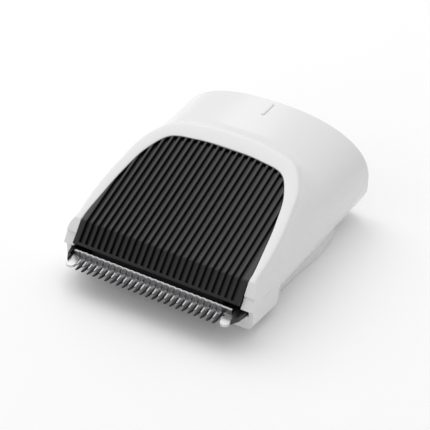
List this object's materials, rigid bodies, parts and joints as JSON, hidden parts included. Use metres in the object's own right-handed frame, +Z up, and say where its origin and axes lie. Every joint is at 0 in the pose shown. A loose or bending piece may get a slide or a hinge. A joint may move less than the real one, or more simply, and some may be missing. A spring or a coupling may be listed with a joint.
{
  "type": "hair clipper cutting head",
  "caption": "Detachable hair clipper head: white two-part case with a rear socket, black ribbed cover, toothed comb blade and sliding cutter driven by a rocking lever.",
  "frame": {"origin": "bottom centre of the head's box, on the face that it rests on, midway between the tips of the comb teeth and the rear rim", "axes": "+Z up, -Y towards the teeth, +Y towards the rear collar, +X across the blades"},
  "size_m": [0.0492, 0.0574, 0.0244],
  "materials": {
    "white_case": "glossy moulded",
    "black_cover": "satin moulded ribs",
    "polished_steel": "ground and polished",
    "cutter_steel": "ground",
    "black_plastic": "satin moulded",
    "grey_plastic": "moulded, slightly rough",
    "spring_steel": "drawn wire",
    "screw_steel": "zinc plated",
    "bronze_bush": "sintered"
  },
  "bodies": {
    "head": {"upper_shell": "white_case", "lower_shell": "white_case", "belly_cover": "white_case", "ribbed_cover": "black_cover", "comb_blade": "polished_steel", "blade_base": "black_plastic", "guide_plate": "cutter_steel", "comb_screws": "screw_steel", "frame_screws": "screw_steel", "case_screws": "screw_steel", "pivot_pin": "screw_steel", "retaining_clip": "spring_steel", "inner_frame": "grey_plastic", "pressure_spring": "spring_steel", "spring_keepers": "spring_steel"},
    "lever": {"drive_lever": "grey_plastic", "lever_bush": "bronze_bush"},
    "cutter": {"cutter_blade": "cutter_steel", "cutter_carrier": "black_plastic", "carrier_rivets": "screw_steel"},
    "left_latch": {"latch_left": "spring_steel"},
    "right_latch": {"latch_right": "spring_steel"}
  },
  "joints": [
    {"name": "cutter_slide", "type": "slide", "parent": "head", "child": "cutter", "axis": [1, 0, 0], "range_m": [-0.00117, 0.00117]},
    {"name": "lever_rock", "type": "hinge", "parent": "head", "child": "lever", "pos_m": [0, -0.0047, 0.011], "axis": [0, 0, 1], "range_deg": [-4.7, 4.7]},
    {"name": "latch_left_flex", "type": "hinge", "parent": "head", "child": "left_latch", "pos_m": [-0.0204, 0.0133, 0.0111], "axis": [0, 0, 1], "range_deg": [0, 5.5], "stiffness_Nm_per_rad": 0.05},
    {"name": "latch_right_flex", "type": "hinge", "parent": "head", "child": "right_latch", "pos_m": [0.0204, 0.0133, 0.0111], "axis": [0, 0, -1], "range_deg": [0, 5.5], "stiffness_Nm_per_rad": 0.05}
  ],
  "couplings": [
    {"joint": "lever_rock", "follows": "cutter_slide", "rad_per_m": 69.93}
  ]
}
